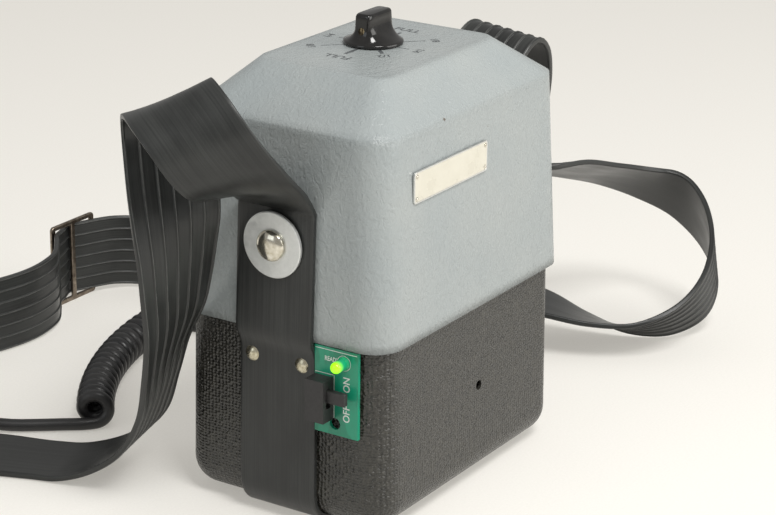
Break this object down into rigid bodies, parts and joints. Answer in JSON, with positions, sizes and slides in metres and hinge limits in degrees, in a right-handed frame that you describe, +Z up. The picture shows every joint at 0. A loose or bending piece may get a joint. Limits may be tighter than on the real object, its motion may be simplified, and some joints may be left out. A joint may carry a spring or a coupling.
{
  "type": "xenon flash power pack",
  "caption": "Shoulder-carried battery power pack for a xenon flash: grey metal cover on a black case, bar-knob power selector, wide rubber strap, curly lamp cord and a small status board.",
  "frame": {"origin": "on the floor under the middle of the case", "axes": "+Z up, X along the case's long side with the status board at -X, the plate side faces -Y"},
  "size_m": [0.411, 0.3201, 0.2067],
  "materials": {
    "strap_rubber": "satin",
    "black_leatherette": "gloss leather grain",
    "grey_paint": "wrinkle grain, satin",
    "black_rubber": "matt",
    "cream_plate": "satin enamel",
    "nickel": "polished",
    "deck_aluminium": "mill",
    "steel": "zinc plated",
    "zinc": "satin zinc",
    "antique_nickel": "antique nickel",
    "can_blue": "sleeved",
    "brass": "plain",
    "core_iron": "varnished",
    "coil_tape": "taped",
    "board_brown": "laminate",
    "part_black": "moulded",
    "cell_wrap": "sleeved",
    "knob_black": "gloss",
    "steel_dark": "black oxide",
    "board_green": "solder mask",
    "lamp_green": "lit",
    "switch_black": "moulded",
    "cord_black": "satin",
    "plug_black": "moulded"
  },
  "bodies": {
    "pack": {"battery_bolts": "steel", "battery_cells": "cell_wrap", "battery_contact_plate": "board_brown", "battery_tray": "deck_aluminium", "blank_nameplate": "cream_plate", "board_pad": "black_rubber", "bracket_screws": "steel", "capacitor_clamps": "steel", "capacitor_terminals": "brass", "chassis_deck": "deck_aluminium", "chassis_posts": "deck_aluminium", "cord_gland": "black_rubber", "cord_lead": "cord_black", "cord_plug": "plug_black", "cord_tail": "cord_black", "curly_cord": "cord_black", "deck_screws": "steel", "drive_board": "board_brown", "drive_components": "part_black", "drive_stands": "nickel", "flash_capacitors": "can_blue", "lower_case": "black_leatherette", "nameplate_pins": "nickel", "post_screws": "steel", "ready_lamp": "lamp_green", "rim_seal": "black_rubber", "rivet_burrs": "nickel", "selector_nut": "nickel", "selector_switch": "part_black", "slide_switch_body": "switch_black", "status_board": "board_green", "strap_buckle": "antique_nickel", "strap_buckle_pass": "strap_rubber", "strap_left_fall": "strap_rubber", "strap_left_floor": "strap_rubber", "strap_left_rise": "strap_rubber", "strap_outer_bend": "strap_rubber", "strap_outer_run": "strap_rubber", "strap_rear_low": "strap_rubber", "strap_rear_twist": "strap_rubber", "strap_right_crest": "strap_rubber", "strap_right_drape": "strap_rubber", "strap_right_low": "strap_rubber", "strap_right_top": "strap_rubber", "strap_rivets": "nickel", "strap_sling": "strap_rubber", "strap_studs": "nickel", "strap_washers": "zinc", "stud_brackets": "deck_aluminium", "stud_nuts": "steel", "top_cover": "grey_paint", "transformer_coil": "coil_tape", "transformer_core": "core_iron"},
    "selector": {"selector_knob": "knob_black", "knob_set_screw": "steel_dark", "selector_shaft": "nickel"},
    "switch_lever": {"slide_switch_lever": "switch_black"}
  },
  "joints": [
    {"name": "knob_turn", "type": "hinge", "parent": "pack", "child": "selector", "pos_m": [0.003, 0.0042, 0.1923], "axis": [0, 0, 1], "range_deg": [0, 135]},
    {"name": "switch_slide", "type": "slide", "parent": "pack", "child": "switch_lever", "axis": [0, 0, -1], "range_m": [0, 0.0027]}
  ]
}
